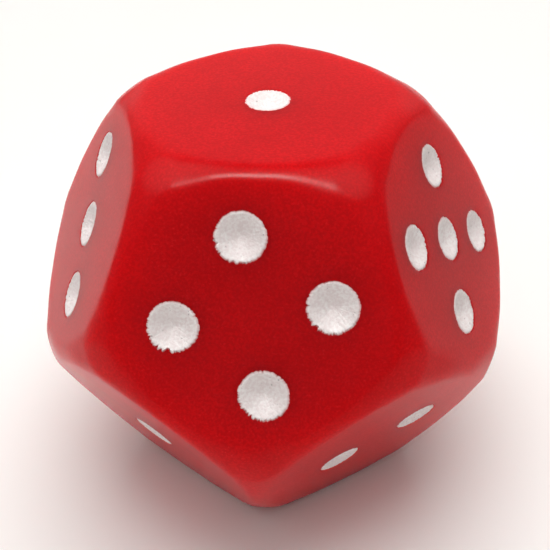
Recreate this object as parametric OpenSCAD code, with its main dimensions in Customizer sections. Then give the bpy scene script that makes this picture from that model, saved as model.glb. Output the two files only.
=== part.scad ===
// Twelve-sided die (regular dodecahedron) marked with pips instead of numerals.
// The counts one to six each appear on two faces, and opposite faces add up to seven.
// The body is one solid moulding. Each pip is a shallow drilled cone that holds a thin coat of paint.
// Origin: centre of the face that the die rests on. +Z is up, and -Y points out through the "front" face.

/* [Die body] */
// Distance between two opposite faces
across_flats = 18; // [17:0.5:30]
// Radius of the rounding where three faces meet
corner_r = 2.4; // [1.6:0.1:2.8]
// Radius of the rounding half way along an edge
edge_r = 1.4; // [0.8:0.1:1.6]
// Part of an edge's length that keeps the edge radius before it blends into the corners
edge_share = 0.36; // [0.1:0.02:0.6]
// Facets across each rounding
round_steps = 8; // [4:1:12]

/* [Pips] */
// Diameter of a pip where its recess meets the face
pip_d = 2; // [1.4:0.1:2.2]
// Full angle of the drill point that cuts the recess
drill_angle = 118; // [90:2:140]
// Thickness of the coat of paint, measured square to the recess wall
paint_t = 0.1; // [0.05:0.01:0.15]
// Distance from the face's centre to the outer pips of a three, four or five
ring_r = 3.1; // [2.6:0.1:3.3]
// Distance from the face's centre to each pip of a two
pair_r = 1.9; // [1.3:0.1:3.3]
// Distance between the two rows of a six
six_row_gap = 3.4; // [2.6:0.1:3.6]
// Distance between neighbouring pips in a row of a six
six_pitch = 2.7; // [2.4:0.1:2.8]

/* [Colours] */
// Colour of the moulded body
body_colour = "crimson"; // [crimson, firebrick, navy, darkgreen, black]
// Colour of the paint in the pips
paint_colour = "white"; // [white, ivory, gold, black]

/* [Hidden] */
// Facets round each recess
$fn = 48;

inradius = across_flats / 2;

// Elevation of the five upper side faces; the five lower ones have it negative
ring_tilt = atan(0.5);

// Each face: name, azimuth and elevation of its outward normal, number of pips, turn of the
// pattern about the normal, and how far the pattern was drilled off the face's centre
// (millimetres to the right and up, looking at the face from outside)
FACES = [
    ["top",               -90,  90,        1,   0, [0, 0]],
    ["front",             -90,  ring_tilt, 4,   9, [0, -0.1]],
    ["right",             -18,  ring_tilt, 5,  64, [0, 0]],
    ["rear_right",         54,  ring_tilt, 6,  12, [0.1, 0]],
    ["rear_left",         126,  ring_tilt, 5,  31, [0, 0.1]],
    ["left",              198,  ring_tilt, 3, 126, [-0.2, 0.1]],
    ["lower_front_right", -54, -ring_tilt, 2,  20, [0.3, 0.2]],
    ["lower_right",        18, -ring_tilt, 4,  40, [0, 0.1]],
    ["lower_rear",         90, -ring_tilt, 3,  75, [-0.1, 0]],
    ["lower_left",        162, -ring_tilt, 2, 100, [0, -0.1]],
    ["lower_front_left",  234, -ring_tilt, 1,   0, [-0.1, 0]],
    ["bottom",            -90, -90,        6,  20, [0, 0]],
];

function face_name(face) = face[0];
function face_azimuth(face) = face[1];
function face_elevation(face) = face[2];
function face_pips(face) = face[3];
function face_turn(face) = face[4];
function face_shift(face) = face[5];

function normal(face) = [
    cos(face_elevation(face)) * cos(face_azimuth(face)),
    cos(face_elevation(face)) * sin(face_azimuth(face)),
    sin(face_elevation(face)),
];
NORMALS = [for (face = FACES) normal(face)];

// Neighbouring faces' normals have this dot product, and no other pair comes near it
neighbour_dot = 1 / sqrt(5);
function are_neighbours(a, b) = abs(a * b - neighbour_dot) < 0.01;

// Each edge as the two face normals that meet there, each corner as its three
EDGES = [
    for (i = [0 : 10], j = [i + 1 : 1 : 11])
        if (are_neighbours(NORMALS[i], NORMALS[j]))
            [NORMALS[i], NORMALS[j]]
];
CORNERS = [
    for (edge = EDGES, k = [0 : 11])
        if (are_neighbours(edge[0], NORMALS[k]) && are_neighbours(edge[1], NORMALS[k]))
            [edge[0], edge[1], NORMALS[k]]
];

// Edge of the sharp dodecahedron that has this inradius
edge_length = 2 * inradius / sqrt(2.5 + 1.1 * sqrt(5));

function unit(v) = v / norm(v);

// Centre of a ball of radius r that touches every face plane in the list
function ball_centre(normals, r) =
    let (total = len(normals) == 2
        ? normals[0] + normals[1]
        : normals[0] + normals[1] + normals[2])
    total * (inradius - r) / (total * normals[0]);

// Points on the part of a corner ball that shows between its three faces
function corner_points(corner) = [
    for (i = [0 : round_steps], j = [0 : round_steps - i])
        ball_centre(corner, corner_r)
            + corner_r * unit(i * corner[0] + j * corner[1] + (round_steps - i - j) * corner[2])
];

// Points on the arc between an edge's two faces, at both ends of its evenly rounded stretch
function edge_points(edge) = [
    for (side = [-1, 1], i = [0 : round_steps])
        ball_centre(edge, edge_r)
            + side * edge_share * edge_length / 2 * unit(cross(edge[0], edge[1]))
            + edge_r * unit(i * edge[0] + (round_steps - i) * edge[1])
];

// Pip positions on a face, before the face's turn and shift
function pair(r) = [[r, 0], [-r, 0]];
function square(r) = [for (k = [0 : 3]) r * [cos(90 * k), sin(90 * k)]];
function two_rows() = [
    for (row = [-0.5, 0.5], place = [-1, 0, 1])
        [row * six_row_gap, place * six_pitch]
];
function pattern(count) =
    count == 1 ? [[0, 0]]
    : count == 2 ? pair(pair_r)
    : count == 3 ? concat(pair(ring_r), [[0, 0]])
    : count == 4 ? square(ring_r)
    : count == 5 ? concat(square(ring_r), [[0, 0]])
    : two_rows();

function turned(p, angle) = [
    p.x * cos(angle) - p.y * sin(angle),
    p.x * sin(angle) + p.y * cos(angle),
];
function pip_places(face) = [
    for (p = pattern(face_pips(face)))
        turned(p, face_turn(face)) + face_shift(face)
];

function pip_name(face, i) = str("pip_", face_name(face), "_", i + 1);

pip_r = pip_d / 2;
pip_depth = pip_r / tan(drill_angle / 2);
// The coat's width at the rim and its height at the middle, from its thickness
coat_rim = paint_t / cos(drill_angle / 2);
coat_height = paint_t / sin(drill_angle / 2);
// How far the cutter stands out of the face
cutter_proud = 0.2;

// Moves children from a face's own plane, with x to the right and y up, onto that face of the die
module on_face(face) {
    translate([0, 0, inradius])
        rotate([0, 90 - face_elevation(face), face_azimuth(face)])
            rotate([0, 0, 90])
                translate([0, 0, inradius])
                    children();
}

// Cone that the drill removes for one pip
module recess() {
    proud_r = pip_r + cutter_proud * tan(drill_angle / 2);
    translate([0, 0, -pip_depth])
        cylinder(h = pip_depth + cutter_proud, r1 = 0, r2 = proud_r);
}

// Coat of paint on a recess wall, level with the face at its rim
module coat() {
    rotate_extrude()
        polygon([
            [0, -pip_depth],
            [pip_r, 0],
            [pip_r - coat_rim, 0],
            [0, coat_height - pip_depth],
        ]);
}

// Dodecahedron with its edges and corners rounded, before drilling
module blank() {
    points = concat(
        [for (corner = CORNERS) each corner_points(corner)],
        [for (edge = EDGES) each edge_points(edge)]
    );
    translate([0, 0, inradius])
        hull()
            polyhedron(points = points, faces = [[for (i = [0 : len(points) - 1]) i]]);
}

module body() {
    color(body_colour)
        difference() {
            blank();
            for (face = FACES, place = pip_places(face))
                on_face(face)
                    translate(place)
                        recess();
        }
}

module pip(face, i) {
    color(paint_colour)
        on_face(face)
            translate(pip_places(face)[i])
                coat();
}

body();
for (face = FACES, i = [0 : face_pips(face) - 1])
    pip(face, i);
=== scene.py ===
import math
import random

import bpy
import numpy as np
from mathutils import Matrix, Quaternion, Vector
from mathutils.geometry import delaunay_2d_cdt


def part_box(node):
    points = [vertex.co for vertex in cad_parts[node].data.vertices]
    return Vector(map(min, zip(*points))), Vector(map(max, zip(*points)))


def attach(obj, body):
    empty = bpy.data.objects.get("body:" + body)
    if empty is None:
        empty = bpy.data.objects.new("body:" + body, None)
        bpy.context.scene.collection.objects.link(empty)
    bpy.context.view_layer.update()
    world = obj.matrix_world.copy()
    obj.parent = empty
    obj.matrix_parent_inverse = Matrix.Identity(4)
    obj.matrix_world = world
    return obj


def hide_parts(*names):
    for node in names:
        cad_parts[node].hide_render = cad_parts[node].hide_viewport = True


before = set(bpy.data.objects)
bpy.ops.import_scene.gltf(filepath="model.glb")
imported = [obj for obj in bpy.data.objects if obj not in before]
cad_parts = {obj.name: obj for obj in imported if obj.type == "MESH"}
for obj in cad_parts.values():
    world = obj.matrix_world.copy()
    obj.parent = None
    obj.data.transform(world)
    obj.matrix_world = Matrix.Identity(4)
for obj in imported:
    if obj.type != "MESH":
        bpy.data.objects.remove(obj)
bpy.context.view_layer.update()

# A twelve-sided red die with white pips, on a pale table under soft light. Lengths are in metres.
MM = 0.001

# ---------------------------------------------------------------- die: sizes from the frame
BODY_LOW, BODY_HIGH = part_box("body")
INRADIUS = (BODY_HIGH.z - BODY_LOW.z) / 2
CENTRE = Vector((0.0, 0.0, BODY_LOW.z + INRADIUS))

# Tumbling leaves the faces flat and rounds the moulding off over these distances below them, least in
# the middle of an edge and most at a corner
EDGE_FILLET = 0.50 * MM
CORNER_FILLET = 1.26 * MM
# Sum of the cosines of the angles to the three nearest faces, at a corner and in the middle of an edge
CORNER_SUM = math.sqrt(3 + 6 / math.sqrt(5))
EDGE_SUM = 2 * math.sqrt((5 + math.sqrt(5)) / 10) + math.sqrt((5 - math.sqrt(5)) / 10)
# Neighbouring faces' normals have a cosine of 0.45, and all other pairs less than this
NEIGHBOUR_COSINE = 0.4
# Distance from the centre of a sharp face to the middle of its side
APOTHEM = INRADIUS * (math.sqrt(5) - 1) / 2

# Mesh spacing over the faces and along each edge, and the rows that follow the rounded border
FACE_SPACING = 0.27 * MM
EDGE_STEPS = 42
BORDER_ROWS = [inset * MM for inset in (0.09, 0.18, 0.28, 0.39, 0.52, 0.68, 0.88, 1.12)]
# Rows with a place for each step of the edge. The rows inside them have one for every second step.
FINE_ROWS = 6
# Rings round a recess, as distances outside its rim and steps between their vertices
SKIRT_RINGS = ((0.32 * MM, 8), (0.16 * MM, 4), (0.09 * MM, 2))
# Rings on the wall of a recess, as shares of its radius and steps between their vertices
WALL_RINGS = ((0.78, 1), (0.55, 2), (0.28, 4))
# The lattice stays this far outside the rims
SKIRT_WIDTH = 0.45 * MM
# Rings of the paint's upper side, and of its side on the wall, as shares of the way to its border
PAINT_RINGS = (0.1, 0.2, 0.32, 0.45, 0.6, 0.74, 0.85, 0.91, 0.945, 0.975)
UNDER_RINGS = (0.28, 0.55, 0.8)
# Turn in degrees beyond which an edge shades as hard, on the body and on the paint
BODY_SHARP_ANGLE = 24
PAINT_SHARP_ANGLE = 60

# ---------------------------------------------------------------- pips
# Slope of the recess wall below the face, for a drill with a 118 degree point
WALL_SLOPE = 1 / math.tan(math.radians(59))
RIM_SEGMENTS = 216
# The rim is worn to a small bevel, and drops steeply below it to the cone that the drill's point left
BEVEL_WIDTH = 0.03 * MM
BEVEL_DEPTH = 0.008 * MM
DROP_WIDTH = 0.012 * MM
DROP_DEPTH = 0.03 * MM
# The paint reaches its full thickness at this distance inside its border too
COAT_THICKNESS = 0.09 * MM
# The paint was wiped off the faces, and stays this far below them
PAINT_BELOW_FACE = 0.008 * MM
# Paint pools in the point of the recess and rounds it off
POINT_ROUNDING = 0.26 * MM
# Greatest depth of an ordinary tooth in the torn part of a rim, and widths of the teeth in degrees
TOOTH_DEPTH = 0.105 * MM
TOOTH_WIDTHS = (4, 9)
# Depths to which flecks of paint have come off the rim
FLECK_DEPTHS = (0.01 * MM, 0.05 * MM)
# Height of one wave of the marks that wiping left in the paint
WIPE_MARK_HEIGHT = 0.0007 * MM
# Mouth of the recesses against the drawn size: the drill went deeper into some faces
MOUTH_SCALES = {"front": 1.065, "left": 1.04, "right": 0.97, "top": 0.98, "lower_front_right": 0.97}
# Heading of the torn side of the rims on a face, seen from outside, anticlockwise from its right
TORN_HEADINGS = {"front": 235, "right": 330, "top": 200, "left": 250}
# Chips knocked out of single rims: heading and width in degrees, and depth
CHIPS = {
    "pip_front_3": [(258, 20, 0.15 * MM), (203, 8, 0.06 * MM)],
    "pip_front_4": [(222, 12, 0.09 * MM), (240, 8, 0.07 * MM)],
    "pip_front_2": [(268, 7, 0.07 * MM), (196, 9, 0.06 * MM)],
    "pip_front_1": [(228, 11, 0.09 * MM), (176, 7, 0.05 * MM)],
}

# ---------------------------------------------------------------- camera
# Position about the die's centre: distance, heading from -Y towards +X, and elevation
CAMERA_DISTANCE = 5.31 * INRADIUS
CAMERA_HEADING = math.radians(5.94)
CAMERA_ELEVATION = math.radians(36.45)
CAMERA_ROLL = math.radians(-1.59)
# Point looked at, from the die's centre
CAMERA_AIM = Vector((0.104 * MM, 0.0, 0.005 * MM))
CAMERA_LENS = 67.3

# Sizes, as shares of the whole, of the nested ovals that make up a fading light
GRADES = (0.4, 0.55, 0.7, 0.85, 1.0)


# ================================================================ geometry of the die
class Face:
    """One flat of the die, with its outward normal and the directions right and up on it."""

    def __init__(self, name, azimuth, elevation):
        azimuth, elevation = math.radians(azimuth), math.radians(elevation)
        self.name = name
        self.normal = Vector((
            math.cos(elevation) * math.cos(azimuth),
            math.cos(elevation) * math.sin(azimuth),
            math.sin(elevation),
        ))
        self.right = Vector((-math.sin(azimuth), math.cos(azimuth), 0.0))
        self.up = self.normal.cross(self.right)
        self.pips = []

    def point(self, place):
        """The point of the face's plane at (right, up), from the die's centre."""
        return self.normal * INRADIUS + self.right * place[0] + self.up * place[1]

    def place(self, point):
        """(right, up) of a point from the die's centre, seen from that centre."""
        on_plane = point * (INRADIUS / point.dot(self.normal))
        return np.array((on_plane.dot(self.right), on_plane.dot(self.up)))


def make_faces():
    tilt = math.degrees(math.atan(0.5))
    upper = ("front", "right", "rear_right", "rear_left", "left")
    lower = ("lower_front_right", "lower_right", "lower_rear", "lower_left", "lower_front_left")
    faces = [Face("top", -90, 90), Face("bottom", -90, -90)]
    faces += [Face(name, -90 + 72 * k, tilt) for k, name in enumerate(upper)]
    faces += [Face(name, -54 + 72 * k, -tilt) for k, name in enumerate(lower)]
    return faces


FACES = make_faces()
NORMALS = np.array([face.normal for face in FACES])


def moulded(point):
    """The point of the tumbled surface in the direction of a point, both from the die's centre."""
    direction = np.array(point) / np.linalg.norm(point)
    facing = sorted(NORMALS @ direction, reverse=True)
    corner_share = max(0.0, (sum(facing[:3]) - EDGE_SUM) / (CORNER_SUM - EDGE_SUM)) ** 4
    fillet = EDGE_FILLET + (CORNER_FILLET - EDGE_FILLET) * corner_share
    core = INRADIUS - fillet
    reach = INRADIUS / facing[0]
    # Beyond the core, the rise above each near face's core plane adds up to the fillet as in Pythagoras
    for count in (2, 3):
        if facing[count - 1] * reach <= core:
            break
        total = sum(facing[:count])
        squares = sum(cosine ** 2 for cosine in facing[:count])
        root = (total * core) ** 2 - squares * (count * core ** 2 - fillet ** 2)
        reach = (total * core + math.sqrt(root)) / squares
    return Vector(direction) * reach


def sharp_corners():
    """The corners of the sharp dodecahedron, each with the indices of its three faces."""
    corners = []
    count = len(FACES)
    for i in range(count):
        for j in range(i + 1, count):
            for k in range(j + 1, count):
                trio = NORMALS[[i, j, k]]
                if min(trio[0] @ trio[1], trio[1] @ trio[2], trio[0] @ trio[2]) > NEIGHBOUR_COSINE:
                    total = trio.sum(axis=0)
                    corners.append((Vector(total * INRADIUS / (total @ trio[0])), (i, j, k)))
    return corners


# ================================================================ pips
class Pip:
    """A drilled pip: where it is, how its rim is torn, and how its paint lies."""

    def __init__(self, node, rng):
        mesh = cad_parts[node].data
        points = [vertex.co - CENTRE for vertex in mesh.vertices]
        middle = sum(points, Vector()) / len(points)
        self.node = node
        self.face = max(FACES, key=lambda face: face.normal.dot(middle))
        places = np.array([(p.dot(self.face.right), p.dot(self.face.up)) for p in points])
        self.centre = (places.min(axis=0) + places.max(axis=0)) / 2
        self.radius = (places.max(axis=0) - places.min(axis=0)).mean() / 2
        self.headings = np.linspace(0, 2 * math.pi, RIM_SEGMENTS, endpoint=False)
        self.bore = self.drilled_outline(rng)
        self.rim = self.bore - self.torn_depth(rng)
        self.foot = self.rim - DROP_WIDTH
        self.paint_edge = self.foot - self.flecks(rng)
        self.streaks = self.wipe_marks(rng)
        self.face.pips.append(self)

    def notch(self, heading, width, depth):
        """A triangular tooth, as a depth at each heading. Angles are in degrees."""
        away = (np.degrees(self.headings) - heading + 180) % 360 - 180
        return depth * np.maximum(0, 1 - np.abs(away) / (width / 2))

    def drilled_outline(self, rng):
        """The radius of the cone's mouth at each heading, a little out of round."""
        mouth = MOUTH_SCALES.get(self.face.name, rng.uniform(0.98, 1.05))
        outline = np.full(RIM_SEGMENTS, self.radius * mouth * rng.uniform(0.99, 1.01))
        for waves in (2, 3, 5, 8):
            wave = np.cos(waves * self.headings + rng.uniform(0, 6.3))
            outline += self.radius * rng.gauss(0, 0.005) * wave
        return outline

    def torn_depth(self, rng):
        """How far torn plastic stands into the mouth of the recess at each heading."""
        torn_in = np.zeros(RIM_SEGMENTS)
        torn = TORN_HEADINGS.get(self.face.name, rng.uniform(0, 360))
        heading = 0.0
        while heading < 360:
            width = rng.uniform(*TOOTH_WIDTHS)
            away = (heading - torn + 180) % 360 - 180
            share = max(0.0, math.cos(math.radians(away) / 1.3)) ** 2
            depth = TOOTH_DEPTH * (0.5 + 0.5 * share) * rng.uniform(0.1, 1.0)
            torn_in += self.notch(heading, width, depth)
            heading += width * rng.uniform(0.7, 1.1)
        for heading, width, depth in CHIPS.get(self.node, []):
            torn_in += self.notch(heading, width, depth)
        return torn_in

    def flecks(self, rng):
        """Where paint has come off the rim."""
        bare = np.zeros(RIM_SEGMENTS)
        for _ in range(rng.randint(5, 10)):
            bare += self.notch(rng.uniform(0, 360), rng.uniform(4, 10), rng.uniform(*FLECK_DEPTHS))
        return bare

    def wipe_marks(self, rng):
        """Fine ridges that run from the point to the rim, as a height at each heading."""
        marks = np.zeros(RIM_SEGMENTS)
        for waves in range(9, 40, 3):
            marks += rng.gauss(0, 1) * np.cos(waves * self.headings + rng.uniform(0, 6.3))
        return marks * WIPE_MARK_HEIGHT

    def wall_depth(self, heading_index, radius):
        """Depth of the cone's wall below the face."""
        return DROP_DEPTH + (self.bore[heading_index] - radius) * WALL_SLOPE

    def point_depth(self):
        """Depth of the cone's point below the face."""
        return DROP_DEPTH + self.bore.mean() * WALL_SLOPE

    def coat_height(self, heading_index, radius):
        """Height of the paint's surface above the recess wall."""
        inward = (self.paint_edge[heading_index] - radius) / COAT_THICKNESS
        ramp = max(0.0, min(1.0, inward))
        ramp = ramp * ramp * (3 - 2 * ramp)
        pooled = (math.hypot(radius, POINT_ROUNDING) - radius) * WALL_SLOPE
        marks = self.streaks[heading_index] * min(1.0, radius / (0.3 * self.radius))
        height = ramp * (COAT_THICKNESS + pooled + marks)
        return min(height, self.wall_depth(heading_index, radius) - PAINT_BELOW_FACE)

    def place(self, heading, radius):
        return self.centre + radius * np.array((math.cos(heading), math.sin(heading)))

    def point(self, heading_index, radius, height=0.0):
        """A point in the recess, at a height above its wall, from the die's centre."""
        place = self.place(self.headings[heading_index], radius)
        depth = self.wall_depth(heading_index, radius) - height
        return moulded(self.face.point(place)) - self.face.normal * depth


def make_pips():
    rng = random.Random(12)
    return [Pip(node, rng) for node in sorted(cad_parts) if node.startswith("pip_")]


# ================================================================ meshes
def new_piece(name, points, polygons, material, sharp_angle):
    """A smooth-shaded mesh object of points from the die's centre, with hard edges where it turns sharply."""
    mesh = bpy.data.meshes.new(name)
    mesh.from_pydata([point + CENTRE for point in points], [], polygons)
    mesh.validate()
    mesh.polygons.foreach_set("use_smooth", [True] * len(mesh.polygons))
    mesh.set_sharp_from_angle(angle=math.radians(sharp_angle))
    mesh.materials.append(material)
    piece = bpy.data.objects.new(name, mesh)
    bpy.context.scene.collection.objects.link(piece)
    return piece


def add_float_attribute(piece, name, values):
    attribute = piece.data.attributes.new(name, "FLOAT", "POINT")
    attribute.data.foreach_set("value", np.array(values, dtype=np.float32))


class FacePlan:
    """The flat plan of one face: places, the depth cut below each, and the lines that must be edges."""

    def __init__(self):
        self.places = []
        self.depths = []
        self.shared = []
        self.lines = []

    def add(self, place, depth=0.0, shared=None):
        self.places.append(tuple(place))
        self.depths.append(depth)
        self.shared.append(shared)
        return len(self.places) - 1

    def add_loop(self, indices):
        self.lines += list(zip(indices, indices[1:] + indices[:1]))


def plan_outline(plan, face, loop):
    """The face's border, of vertices that it shares with its neighbours, and rows inside it."""
    places = [face.place(point) for _, point in loop]
    plan.add_loop([plan.add(place, shared=index) for place, (index, _) in zip(places, loop)])
    for row, inset in enumerate(BORDER_ROWS):
        step = 1 if row < FINE_ROWS else 2
        for place in places[row % 2::step]:
            plan.add(place * (1 - inset / APOTHEM))


def plan_pip(plan, pip):
    """Rings for one recess: a graded skirt outside it, the bevel, the wall and the point."""
    for extra, step in SKIRT_RINGS:
        for i in range(0, RIM_SEGMENTS, step):
            plan.add(pip.place(pip.headings[i], pip.radius + extra))
    outer = [plan.add(pip.place(pip.headings[i], pip.rim[i] + BEVEL_WIDTH)) for i in range(RIM_SEGMENTS)]
    rim = [plan.add(pip.place(pip.headings[i], pip.rim[i]), BEVEL_DEPTH) for i in range(RIM_SEGMENTS)]
    foot = [
        plan.add(pip.place(pip.headings[i], pip.foot[i]), pip.wall_depth(i, pip.foot[i]))
        for i in range(RIM_SEGMENTS)
    ]
    for loop in (outer, rim, foot):
        plan.add_loop(loop)
    for share, step in WALL_RINGS:
        for i in range(0, RIM_SEGMENTS, step):
            radius = share * pip.radius
            plan.add(pip.place(pip.headings[i], radius), pip.wall_depth(i, radius))
    plan.add(pip.centre, pip.point_depth())


def plan_lattice(plan, face, outline):
    """A triangular lattice over the rest of the face."""
    border = np.array(outline)
    following = np.roll(border, -1, axis=0)
    along = (following - border) / np.linalg.norm(following - border, axis=1)[:, None]
    inward = np.stack([-along[:, 1], along[:, 0]], axis=1)
    reach = np.abs(border).max()
    rows = int(reach / (FACE_SPACING * math.sqrt(0.75))) + 1
    columns = int(reach / FACE_SPACING) + 1
    for row in range(-rows, rows + 1):
        for column in range(-columns, columns + 1):
            place = np.array((column + 0.5 * (row % 2), row * math.sqrt(0.75))) * FACE_SPACING
            inset = ((place - border) * inward).sum(axis=1).min()
            if inset < BORDER_ROWS[-1] + 0.6 * FACE_SPACING:
                continue
            if all(np.linalg.norm(place - pip.centre) > pip.radius + SKIRT_WIDTH for pip in face.pips):
                plan.add(place)


def build_body(material):
    corners = sharp_corners()
    points = [moulded(corner) for corner, _ in corners]
    edges = {}

    def edge_run(a, b):
        """Vertices from corner a to corner b, without b, made once for the two faces that meet there."""
        if (a, b) not in edges:
            start, end = corners[a][0], corners[b][0]
            steps = [start.lerp(end, k / EDGE_STEPS) for k in range(1, EDGE_STEPS)]
            first = len(points)
            points.extend(moulded(step) for step in steps)
            indices = list(range(first, len(points)))
            edges[a, b] = list(zip(indices, steps))
            edges[b, a] = edges[a, b][::-1]
        return [(a, corners[a][0])] + edges[a, b]

    polygons = []
    for number, face in enumerate(FACES):
        ring = [i for i, (_, trio) in enumerate(corners) if number in trio]
        ring.sort(key=lambda i: math.atan2(*face.place(corners[i][0])[::-1]))
        loop = [item for a, b in zip(ring, ring[1:] + ring[:1]) for item in edge_run(a, b)]
        plan = FacePlan()
        plan_outline(plan, face, loop)
        plan_lattice(plan, face, [face.place(corners[i][0]) for i in ring])
        for pip in face.pips:
            plan_pip(plan, pip)
        flat = [Vector((x / MM, y / MM)) for x, y in plan.places]
        _, _, triangles, origins, _, _ = delaunay_2d_cdt(flat, plan.lines, [], 1, 1e-7)
        vertex_of = {}
        for made, source in enumerate(origins):
            first = source[0]
            if plan.shared[first] is not None:
                vertex_of[made] = plan.shared[first]
                continue
            surface = moulded(face.point(plan.places[first]))
            vertex_of[made] = len(points)
            points.append(surface - face.normal * plan.depths[first])
        polygons += [[vertex_of[i] for i in triangle] for triangle in triangles]
    return new_piece("die_body", points, polygons, material, BODY_SHARP_ANGLE)


def build_paint(pip, material):
    """The coat of paint in one recess, as a closed solid that lies on the recess wall."""
    points, rim_share, polygons = [], [], []

    def ring(share, raised):
        first = len(points)
        for i in range(RIM_SEGMENTS):
            radius = share * pip.paint_edge[i]
            height = pip.coat_height(i, radius) if raised else 0.0
            points.append(pip.point(i, radius, height))
            rim_share.append(share)
        return range(first, first + RIM_SEGMENTS)

    def tip(height):
        depth = pip.point_depth() - height
        points.append(moulded(pip.face.point(pip.centre)) - pip.face.normal * depth)
        rim_share.append(0.0)
        return len(points) - 1

    def join(inner, outer, flip):
        for i in range(RIM_SEGMENTS):
            j = (i + 1) % RIM_SEGMENTS
            quad = [inner[i], outer[i], outer[j], inner[j]]
            polygons.append(quad[::-1] if flip else quad)

    def fan(centre, outer, flip):
        for i in range(RIM_SEGMENTS):
            j = (i + 1) % RIM_SEGMENTS
            triangle = [centre, outer[i], outer[j]]
            polygons.append(triangle[::-1] if flip else triangle)

    edge = ring(1.0, False)
    upper = [ring(share, True) for share in PAINT_RINGS] + [edge]
    fan(tip(COAT_THICKNESS + POINT_ROUNDING * WALL_SLOPE), upper[0], False)
    for inner, outer in zip(upper, upper[1:]):
        join(inner, outer, False)
    under = [ring(share, False) for share in UNDER_RINGS] + [edge]
    fan(tip(0.0), under[0], True)
    for inner, outer in zip(under, under[1:]):
        join(inner, outer, True)
    name = pip.node.replace("pip_", "paint_")
    piece = new_piece(name, points, polygons, material, PAINT_SHARP_ANGLE)
    add_float_attribute(piece, "rim_share", rim_share)
    return piece


# ================================================================ materials
class Nodes:
    """A short way to write a node tree."""

    def __init__(self, tree):
        self.tree = tree
        tree.nodes.clear()

    def add(self, kind, inputs=None, **settings):
        node = self.tree.nodes.new(kind)
        for key, value in settings.items():
            setattr(node, key, value)
        for key, value in (inputs or {}).items():
            if isinstance(value, bpy.types.NodeSocket):
                self.tree.links.new(value, node.inputs[key])
            else:
                node.inputs[key].default_value = value
        return node

    def noise(self, vector, size, detail):
        """Noise whose features are about size metres across."""
        inputs = {"Vector": vector, "Scale": 1 / size, "Detail": detail}
        return self.add("ShaderNodeTexNoise", inputs).outputs["Fac"]

    def span(self, value, low, high, to_low=0.0, to_high=1.0):
        """Maps low..high of a value to to_low..to_high, with smooth ends."""
        inputs = {"Value": value, "From Min": low, "From Max": high, "To Min": to_low, "To Max": to_high}
        return self.add("ShaderNodeMapRange", inputs, interpolation_type="SMOOTHSTEP").outputs["Result"]

    def mix(self, factor, a, b):
        """A colour between a and b."""
        node = self.add("ShaderNodeMix", data_type="RGBA")
        for socket, value in ((0, factor), (6, a), (7, b)):
            if isinstance(value, bpy.types.NodeSocket):
                self.tree.links.new(value, node.inputs[socket])
            else:
                node.inputs[socket].default_value = value
        return node.outputs[2]

    def math(self, operation, a, b=0.0):
        return self.add("ShaderNodeMath", {0: a, 1: b}, operation=operation).outputs[0]


def new_material(name):
    material = bpy.data.materials.new(name)
    material.use_nodes = True
    nodes = Nodes(material.node_tree)
    return material, nodes


def red_plastic():
    material, nodes = new_material("red_plastic")
    where = nodes.add("ShaderNodeTexCoord").outputs["Object"]
    clouds = nodes.noise(where, 2.6 * MM, 3)
    grain = nodes.noise(where, 0.11 * MM, 2)
    specks = nodes.noise(where, 0.09 * MM, 1)

    plain = (0.62, 0.0062, 0.0092, 1)
    cloudy = (0.57, 0.0056, 0.0084, 1)
    deep = (0.44, 0.0036, 0.0062, 1)
    chalky = (0.80, 0.040, 0.045, 1)
    colour = nodes.mix(nodes.span(clouds, 0.35, 0.65), cloudy, plain)
    colour = nodes.mix(nodes.span(specks, 0.55, 0.80, 0.0, 0.3), colour, chalky)
    colour = nodes.mix(nodes.span(grain, 0.35, 0.65, 0.0, 0.6), colour, deep)

    rough = nodes.span(grain, 0.3, 0.7, 0.17, 0.24)
    gloss = nodes.math("ADD", rough, nodes.span(clouds, 0.3, 0.7, -0.02, 0.02))
    peel = nodes.math("MULTIPLY", nodes.noise(where, 1.1 * MM, 2), 3 * MM)
    height = nodes.math("ADD", nodes.math("MULTIPLY", grain, 2.5 * MM), peel)
    bump = nodes.add(
        "ShaderNodeBump", {"Height": height, "Strength": 1.0, "Distance": 0.001}
    ).outputs["Normal"]
    shader = nodes.add("ShaderNodeBsdfPrincipled", {
        "Base Color": colour,
        "Roughness": gloss,
        "Normal": bump,
        # Low, for the weak sheen that the photo shows
        "IOR": 1.15,
        "Subsurface Weight": 0.85,
        "Subsurface Radius": (1.0, 0.06, 0.05),
        "Subsurface Scale": 6.5 * MM,
    })
    nodes.add("ShaderNodeOutputMaterial", {"Surface": shader.outputs["BSDF"]})
    return material


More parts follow.
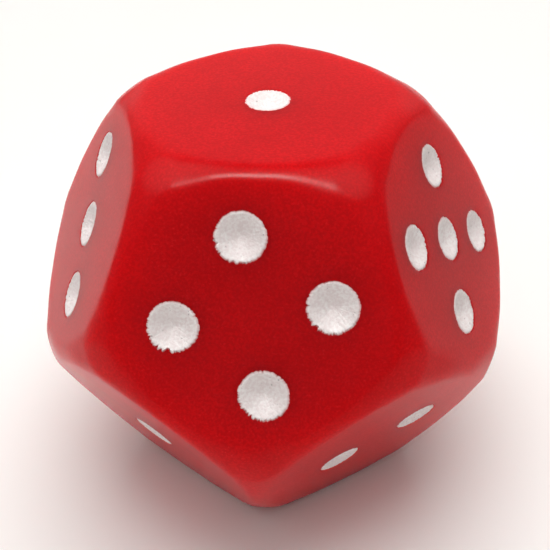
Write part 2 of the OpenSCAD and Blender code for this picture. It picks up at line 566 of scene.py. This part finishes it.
def white_paint():
    material, nodes = new_material("white_paint")
    where = nodes.add("ShaderNodeTexCoord").outputs["Object"]
    rim_share = nodes.add("ShaderNodeAttribute", attribute_name="rim_share").outputs["Fac"]
    clouds = nodes.noise(where, 0.7 * MM, 3)
    grain = nodes.noise(where, 0.12 * MM, 3)
    specks = nodes.noise(where, 0.14 * MM, 1)

    white = (0.94, 0.89, 0.88, 1)
    dull = (0.81, 0.71, 0.705, 1)
    grey = (0.40, 0.35, 0.35, 1)
    pink = (0.78, 0.40, 0.40, 1)
    colour = nodes.mix(nodes.span(clouds, 0.35, 0.7, 0.1, 0.6), white, dull)
    colour = nodes.mix(nodes.span(grain, 0.35, 0.65), colour, dull)
    colour = nodes.mix(nodes.span(specks, 0.70, 0.78, 0.0, 0.8), colour, grey)
    stain = nodes.math("MULTIPLY", nodes.span(rim_share, 0.90, 1.0), nodes.span(clouds, 0.3, 0.6, 0.25, 0.8))
    colour = nodes.mix(stain, colour, pink)

    bump = nodes.add(
        "ShaderNodeBump", {"Height": grain, "Strength": 1.0, "Distance": 0.04 * MM}
    ).outputs["Normal"]
    shader = nodes.add("ShaderNodeBsdfPrincipled", {
        "Base Color": colour,
        "Roughness": nodes.span(clouds, 0.3, 0.7, 0.50, 0.68),
        "Normal": bump,
        "IOR": 1.45,
    })
    nodes.add("ShaderNodeOutputMaterial", {"Surface": shader.outputs["BSDF"]})
    return material


# ================================================================ stage, light and camera
def build_floor():
    material, nodes = new_material("table_paper")
    where = nodes.add("ShaderNodeTexCoord").outputs["Object"]
    tone = nodes.span(nodes.noise(where, 25 * MM, 2), 0.3, 0.7)
    colour = nodes.mix(tone, (0.93, 0.915, 0.895, 1), (0.94, 0.93, 0.915, 1))
    shader = nodes.add("ShaderNodeBsdfPrincipled", {"Base Color": colour, "Roughness": 0.8, "IOR": 1.3})
    nodes.add("ShaderNodeOutputMaterial", {"Surface": shader.outputs["BSDF"]})
    half = 1.5
    below = -0.02 * MM
    mesh = bpy.data.meshes.new("table")
    outline = [(-half, -half, below), (half, -half, below), (half, half, below), (-half, half, below)]
    mesh.from_pydata(outline, [], [(0, 1, 2, 3)])
    mesh.materials.append(material)
    floor = bpy.data.objects.new("table", mesh)
    bpy.context.scene.collection.objects.link(floor)


def direction(heading, elevation):
    """A unit vector, with its heading in degrees from -Y towards +X."""
    heading, elevation = math.radians(heading), math.radians(elevation)
    return Vector((
        math.sin(heading) * math.cos(elevation),
        -math.cos(heading) * math.cos(elevation),
        math.sin(elevation),
    ))


def build_room():
    """A dim room that is pale behind the die and less so at its sides and low in front of it."""
    world = bpy.data.worlds.new("room")
    world.use_nodes = True
    bpy.context.scene.world = world
    nodes = Nodes(world.node_tree)
    where = nodes.add("ShaderNodeTexCoord").outputs["Generated"]

    def towards(heading, elevation, wide, narrow):
        """1 within narrow degrees of a direction, and 0 beyond wide."""
        dot = nodes.add(
            "ShaderNodeVectorMath",
            {0: where, 1: direction(heading, elevation)},
            operation="DOT_PRODUCT",
        ).outputs["Value"]
        return nodes.span(dot, math.cos(math.radians(wide)), math.cos(math.radians(narrow)))

    strength = 0.05
    for heading, elevation, wide, narrow, extra in (
        (-112, 30, 58, 20, 0.21),
        (118, 26, 54, 20, 0.13),
        (180, 20, 55, 20, 0.58),
        (0, 2, 32, 5, 0.18),
    ):
        lobe = nodes.math("MULTIPLY", towards(heading, elevation, wide, narrow), extra)
        strength = nodes.math("ADD", lobe, strength)
    background = nodes.add("ShaderNodeBackground", {"Color": (1.0, 0.985, 0.965, 1), "Strength": strength})
    nodes.add("ShaderNodeOutputWorld", {"Surface": background.outputs["Background"]})


def build_softbox(name, heading, elevation, distance, size, radiance, mirrored, roll=0):
    """An oval soft light aimed at the die: one that only gloss mirrors, or one that only lights."""
    lamp = bpy.data.lights.new(name, "AREA")
    lamp.shape = "ELLIPSE"
    lamp.size, lamp.size_y = size
    lamp.energy = radiance * math.pi * size[0] * size[1] * math.pi / 4
    lamp.color = (1.0, 0.99, 0.975)
    holder = bpy.data.objects.new(name, lamp)
    holder.location = CENTRE + direction(heading, elevation) * distance
    facing = (holder.location - CENTRE).to_track_quat("Z", "Y")
    holder.rotation_euler = (facing @ Quaternion((0, 0, 1), math.radians(roll))).to_euler()
    holder.visible_camera = False
    holder.visible_glossy = mirrored
    holder.visible_diffuse = not mirrored
    bpy.context.scene.collection.objects.link(holder)


def build_graded_softbox(name, heading, elevation, distance, size, radiance, roll=0):
    """A mirrored soft light that fades from its middle to its rim, of ovals one inside another."""
    part = radiance / len(GRADES)
    for step, share in enumerate(GRADES):
        oval = (size[0] * share, size[1] * share)
        build_softbox(f"{name}_{step}", heading, elevation, distance, oval, part, True, roll)


def build_camera():
    camera = bpy.data.cameras.new("camera")
    camera.sensor_width = 36
    camera.lens = CAMERA_LENS
    camera.clip_start = 1 * MM
    camera.clip_end = 10
    holder = bpy.data.objects.new("camera", camera)
    bpy.context.scene.collection.objects.link(holder)
    offset = direction(math.degrees(CAMERA_HEADING), math.degrees(CAMERA_ELEVATION)) * CAMERA_DISTANCE
    forward = (CAMERA_AIM - offset).normalized()
    level = forward.cross(Vector((0, 0, 1))).normalized()
    upright = level.cross(forward)
    right = level * math.cos(CAMERA_ROLL) + upright * math.sin(CAMERA_ROLL)
    up = right.cross(forward)
    turn = Matrix((right, up, -forward)).transposed()
    holder.matrix_world = Matrix.Translation(CENTRE + offset) @ turn.to_4x4()
    bpy.context.scene.camera = holder


# ================================================================ the scene
build_camera()
PIPS = make_pips()
RED = red_plastic()
WHITE = white_paint()

body = build_body(RED)
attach(body, "root")
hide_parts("body")
for pip in PIPS:
    paint = build_paint(pip, WHITE)
    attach(paint, "root")
    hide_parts(pip.node)

build_floor()
build_room()
# The highlight on the front edge, and the sheen that carries it on round the corners
build_graded_softbox("highlight", -9, 64, 0.30, (0.21, 0.09), 55.0, roll=15)
build_graded_softbox("highlight_near_left", -46, 68, 0.30, (0.40, 0.24), 6.0)
build_graded_softbox("highlight_near_right", 42, 68, 0.30, (0.40, 0.24), 5.4)
build_graded_softbox("highlight_left", -84, 55, 0.30, (0.32, 0.26), 6.6)
build_graded_softbox("highlight_right", 82, 60, 0.30, (0.32, 0.26), 5.4)
# The light on the top and on the front
build_softbox("overhead", 180, 78, 0.16, (0.19, 0.19), 2.88, mirrored=False)
build_softbox("fill", -8, 56, 0.30, (0.34, 0.34), 1.08, mirrored=False)
bpy.context.scene.view_settings.view_transform = "Standard"
